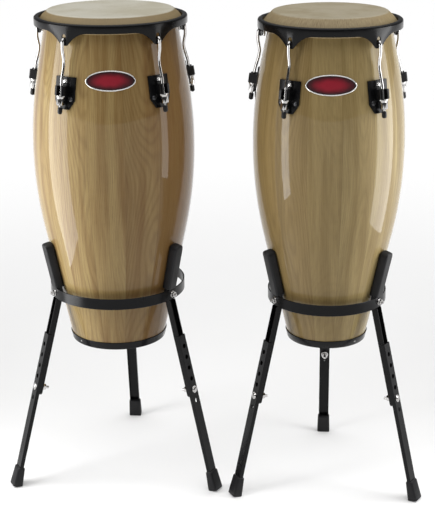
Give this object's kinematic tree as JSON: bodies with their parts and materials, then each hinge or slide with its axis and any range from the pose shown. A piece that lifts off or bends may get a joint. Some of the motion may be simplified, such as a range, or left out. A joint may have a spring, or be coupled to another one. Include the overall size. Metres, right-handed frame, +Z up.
{
  "type": "conga drums",
  "caption": "Pair of staved wooden conga drums with tunable rims, chrome tuning hooks and rawhide heads, each in a black steel basket stand with height-adjustable legs.",
  "frame": {"origin": "on the floor under the middle of the pair's bounding box", "axes": "+X to the right with the large drum on the left, -Y to the front where the badges face, +Z up along the drums' axes"},
  "size_m": [0.9186, 0.4982, 1.06],
  "materials": {
    "large_wood": "gloss lacquer",
    "small_wood": "gloss lacquer",
    "large_skin": "matte rawhide",
    "small_skin": "matte rawhide",
    "black_paint": "satin powder coat",
    "chrome": "polished",
    "rubber": "matte",
    "badge": "gloss enamel in a polished rim"
  },
  "bodies": {
    "stands": {"large_stand_strap": "black_paint", "large_stand_uprights": "black_paint", "large_arm_sleeves": "rubber", "large_strap_bolts": "chrome", "large_leg_bolts": "chrome", "small_stand_strap": "black_paint", "small_stand_uprights": "black_paint", "small_arm_sleeves": "rubber", "small_strap_bolts": "chrome", "small_leg_bolts": "chrome"},
    "large_drum": {"large_shell": "large_wood", "large_head": "large_skin", "large_flesh_hoop": "chrome", "large_bottom_band": "black_paint", "large_band_nails": "chrome", "large_lug_brackets": "black_paint", "large_lug_bolts": "chrome", "large_badge": "badge"},
    "large_rim_and_hooks": {"large_rim": "black_paint", "large_tuning_hooks": "chrome", "large_hook_caps": "rubber"},
    "large_tuning_nut_1": {"large_tuning_nut_1": "chrome"},
    "large_tuning_nut_2": {"large_tuning_nut_2": "chrome"},
    "large_tuning_nut_3": {"large_tuning_nut_3": "chrome"},
    "large_tuning_nut_4": {"large_tuning_nut_4": "chrome"},
    "large_tuning_nut_5": {"large_tuning_nut_5": "chrome"},
    "large_leg_1": {"large_lower_leg_1": "black_paint", "large_foot_1": "rubber"},
    "large_clamp_nut_1": {"large_clamp_nut_1": "chrome"},
    "large_leg_2": {"large_lower_leg_2": "black_paint", "large_foot_2": "rubber"},
    "large_clamp_nut_2": {"large_clamp_nut_2": "chrome"},
    "large_leg_3": {"large_lower_leg_3": "black_paint", "large_foot_3": "rubber"},
    "large_clamp_nut_3": {"large_clamp_nut_3": "chrome"},
    "small_drum": {"small_shell": "small_wood", "small_head": "small_skin", "small_flesh_hoop": "chrome", "small_bottom_band": "black_paint", "small_band_nails": "chrome", "small_lug_brackets": "black_paint", "small_lug_bolts": "chrome", "small_badge": "badge"},
    "small_rim_and_hooks": {"small_rim": "black_paint", "small_tuning_hooks": "chrome", "small_hook_caps": "rubber"},
    "small_tuning_nut_1": {"small_tuning_nut_1": "chrome"},
    "small_tuning_nut_2": {"small_tuning_nut_2": "chrome"},
    "small_tuning_nut_3": {"small_tuning_nut_3": "chrome"},
    "small_tuning_nut_4": {"small_tuning_nut_4": "chrome"},
    "small_tuning_nut_5": {"small_tuning_nut_5": "chrome"},
    "small_leg_1": {"small_lower_leg_1": "black_paint", "small_foot_1": "rubber"},
    "small_clamp_nut_1": {"small_clamp_nut_1": "chrome"},
    "small_leg_2": {"small_lower_leg_2": "black_paint", "small_foot_2": "rubber"},
    "small_clamp_nut_2": {"small_clamp_nut_2": "chrome"},
    "small_leg_3": {"small_lower_leg_3": "black_paint", "small_foot_3": "rubber"},
    "small_clamp_nut_3": {"small_clamp_nut_3": "chrome"}
  },
  "joints": [
    {"name": "large_drum_lift", "type": "slide", "parent": "stands", "child": "large_drum", "axis": [0, 0, 1], "range_m": [0, 0.25]},
    {"name": "large_rim_rise", "type": "slide", "parent": "large_drum", "child": "large_rim_and_hooks", "axis": [0, 0, 1], "range_m": [0, 0.004]},
    {"name": "large_tuning_nut_1_turn", "type": "hinge", "parent": "large_drum", "child": "large_tuning_nut_1", "pos_m": [-0.09439, -0.15895, 0.89106], "axis": [0.1025, -0.12, -0.9875], "range_deg": [0, 1152]},
    {"name": "large_tuning_nut_2_turn", "type": "hinge", "parent": "large_drum", "child": "large_tuning_nut_2", "pos_m": [-0.04467, 0.04814, 0.89106], "axis": [0.1458, 0.0604, -0.9875], "range_deg": [0, 1152]},
    {"name": "large_tuning_nut_3_turn", "type": "hinge", "parent": "large_drum", "child": "large_tuning_nut_3", "pos_m": [-0.22625, 0.15941, 0.89106], "axis": [-0.0124, 0.1573, -0.9875], "range_deg": [0, 1152]},
    {"name": "large_tuning_nut_4_turn", "type": "hinge", "parent": "large_drum", "child": "large_tuning_nut_4", "pos_m": [-0.38819, 0.0211, 0.89106], "axis": [-0.1534, 0.0368, -0.9875], "range_deg": [0, 1152]},
    {"name": "large_tuning_nut_5_turn", "type": "hinge", "parent": "large_drum", "child": "large_tuning_nut_5", "pos_m": [-0.3067, -0.17565, 0.89106], "axis": [-0.0824, -0.1345, -0.9875], "range_deg": [0, 1152]},
    {"name": "large_leg_1_extend", "type": "slide", "parent": "stands", "child": "large_leg_1", "axis": [-0.2248, -0.114, -0.9677], "range_m": [-0.025, 0.1]},
    {"name": "large_clamp_nut_1_turn", "type": "hinge", "parent": "stands", "child": "large_clamp_nut_1", "pos_m": [-0.37716, -0.10496, 0.22299], "axis": [-0.863, -0.4378, 0.2521], "continuous": true},
    {"name": "large_leg_2_extend", "type": "slide", "parent": "stands", "child": "large_leg_2", "axis": [0.2112, -0.1377, -0.9677], "range_m": [-0.025, 0.05]},
    {"name": "large_clamp_nut_2_turn", "type": "hinge", "parent": "stands", "child": "large_clamp_nut_2", "pos_m": [-0.05694, -0.1223, 0.22299], "axis": [0.8107, -0.5285, 0.2521], "continuous": true},
    {"name": "large_leg_3_extend", "type": "slide", "parent": "stands", "child": "large_leg_3", "axis": [0.0136, 0.2517, -0.9677], "range_m": [-0.025, 0.1]},
    {"name": "large_clamp_nut_3_turn", "type": "hinge", "parent": "stands", "child": "large_clamp_nut_3", "pos_m": [-0.20203, 0.16369, 0.22299], "axis": [0.0523, 0.9663, 0.2521], "continuous": true},
    {"name": "small_drum_lift", "type": "slide", "parent": "stands", "child": "small_drum", "axis": [0, 0, 1], "range_m": [0, 0.25]},
    {"name": "small_rim_rise", "type": "slide", "parent": "small_drum", "child": "small_rim_and_hooks", "axis": [0, 0, 1], "range_m": [0, 0.004]},
    {"name": "small_tuning_nut_1_turn", "type": "hinge", "parent": "small_drum", "child": "small_tuning_nut_1", "pos_m": [0.35166, -0.22442, 0.88973], "axis": [0.081, -0.1115, -0.9905], "range_deg": [0, 1152]},
    {"name": "small_tuning_nut_2_turn", "type": "hinge", "parent": "small_drum", "child": "small_tuning_nut_2", "pos_m": [0.41328, -0.03477, 0.88973], "axis": [0.131, 0.0426, -0.9905], "range_deg": [0, 1152]},
    {"name": "small_tuning_nut_3_turn", "type": "hinge", "parent": "small_drum", "child": "small_tuning_nut_3", "pos_m": [0.25196, 0.08243, 0.88973], "axis": [0, 0.1378, -0.9905], "range_deg": [0, 1152]},
    {"name": "small_tuning_nut_4_turn", "type": "hinge", "parent": "small_drum", "child": "small_tuning_nut_4", "pos_m": [0.09064, -0.03477, 0.88973], "axis": [-0.131, 0.0426, -0.9905], "range_deg": [0, 1152]},
    {"name": "small_tuning_nut_5_turn", "type": "hinge", "parent": "small_drum", "child": "small_tuning_nut_5", "pos_m": [0.15226, -0.22442, 0.88973], "axis": [-0.081, -0.1115, -0.9905], "range_deg": [0, 1152]},
    {"name": "small_leg_1_extend", "type": "slide", "parent": "stands", "child": "small_leg_1", "axis": [-0.2057, -0.103, -0.9732], "range_m": [-0.025, 0.05]},
    {"name": "small_clamp_nut_1_turn", "type": "hinge", "parent": "stands", "child": "small_clamp_nut_1", "pos_m": [0.10948, -0.15854, 0.22308], "axis": [-0.8702, -0.4357, 0.23], "continuous": true},
    {"name": "small_leg_2_extend", "type": "slide", "parent": "stands", "child": "small_leg_2", "axis": [0.1921, -0.1266, -0.9732], "range_m": [-0.025, 0.1]},
    {"name": "small_clamp_nut_2_turn", "type": "hinge", "parent": "stands", "child": "small_clamp_nut_2", "pos_m": [0.38499, -0.17491, 0.22308], "axis": [0.8125, -0.5357, 0.2301], "continuous": true},
    {"name": "small_leg_3_extend", "type": "slide", "parent": "stands", "child": "small_leg_3", "axis": [0.0136, 0.2296, -0.9732], "range_m": [-0.025, 0.1]},
    {"name": "small_clamp_nut_3_turn", "type": "hinge", "parent": "stands", "child": "small_clamp_nut_3", "pos_m": [0.26141, 0.07187, 0.22308], "axis": [0.0577, 0.9715, 0.23], "continuous": true}
  ],
  "couplings": [
    {"joint": "large_tuning_nut_1_turn", "follows": "large_rim_rise", "rad_per_m": 5026.5},
    {"joint": "large_tuning_nut_2_turn", "follows": "large_rim_rise", "rad_per_m": 5026.5},
    {"joint": "large_tuning_nut_3_turn", "follows": "large_rim_rise", "rad_per_m": 5026.5},
    {"joint": "large_tuning_nut_4_turn", "follows": "large_rim_rise", "rad_per_m": 5026.5},
    {"joint": "large_tuning_nut_5_turn", "follows": "large_rim_rise", "rad_per_m": 5026.5},
    {"joint": "small_tuning_nut_1_turn", "follows": "small_rim_rise", "rad_per_m": 5026.5},
    {"joint": "small_tuning_nut_2_turn", "follows": "small_rim_rise", "rad_per_m": 5026.5},
    {"joint": "small_tuning_nut_3_turn", "follows": "small_rim_rise", "rad_per_m": 5026.5},
    {"joint": "small_tuning_nut_4_turn", "follows": "small_rim_rise", "rad_per_m": 5026.5},
    {"joint": "small_tuning_nut_5_turn", "follows": "small_rim_rise", "rad_per_m": 5026.5}
  ]
}
